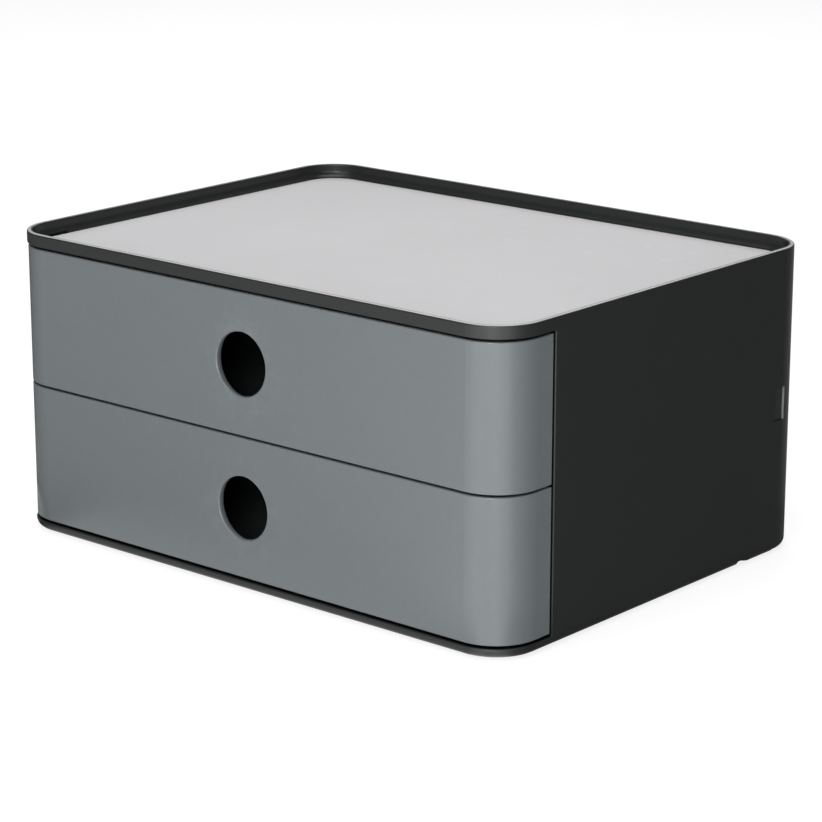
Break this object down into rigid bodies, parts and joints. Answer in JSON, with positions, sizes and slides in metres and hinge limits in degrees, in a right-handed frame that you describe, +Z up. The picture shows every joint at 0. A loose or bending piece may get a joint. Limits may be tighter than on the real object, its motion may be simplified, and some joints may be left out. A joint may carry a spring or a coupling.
{
  "type": "desktop file drawer",
  "caption": "Low desktop drawer housing with an open tray on top and two slide-out drawers whose wrap-round fronts have round finger holes.",
  "frame": {"origin": "on the table, under the middle of the housing", "axes": "+X across the width, to the right as seen from the front; +Y from front to back; +Z up. The drawers open towards -Y."},
  "size_m": [0.26, 0.195, 0.126],
  "materials": {
    "housing_black": "fine matt texture, near-black",
    "tray_plate_grey": "smooth satin, pale grey",
    "inner_black": "satin, near-black",
    "slide_strip": "smooth low-friction plastic, dark grey",
    "foot_rubber": "soft matt rubber, black",
    "box_grey": "satin, granite grey",
    "front_grey": "high gloss, granite grey",
    "catch_black": "smooth springy plastic, dark grey"
  },
  "bodies": {
    "housing": {"housing_shell": "housing_black", "top_tray_plate": "tray_plate_grey", "back_panel": "housing_black", "divider_shelf": "inner_black", "left_lower_rail": "slide_strip", "right_lower_rail": "slide_strip", "left_upper_rail": "slide_strip", "right_upper_rail": "slide_strip", "front_left_foot": "foot_rubber", "front_right_foot": "foot_rubber", "rear_left_foot": "foot_rubber", "rear_right_foot": "foot_rubber"},
    "lower_drawer": {"lower_drawer_box": "box_grey", "lower_drawer_front": "front_grey", "lower_left_stop_catch": "catch_black", "lower_right_stop_catch": "catch_black"},
    "upper_drawer": {"upper_drawer_box": "box_grey", "upper_drawer_front": "front_grey", "upper_left_stop_catch": "catch_black", "upper_right_stop_catch": "catch_black"}
  },
  "joints": [
    {"name": "lower_drawer_slide", "type": "slide", "parent": "housing", "child": "lower_drawer", "axis": [0, -1, 0], "range_m": [0, 0.14]},
    {"name": "upper_drawer_slide", "type": "slide", "parent": "housing", "child": "upper_drawer", "axis": [0, -1, 0], "range_m": [0, 0.14]}
  ]
}
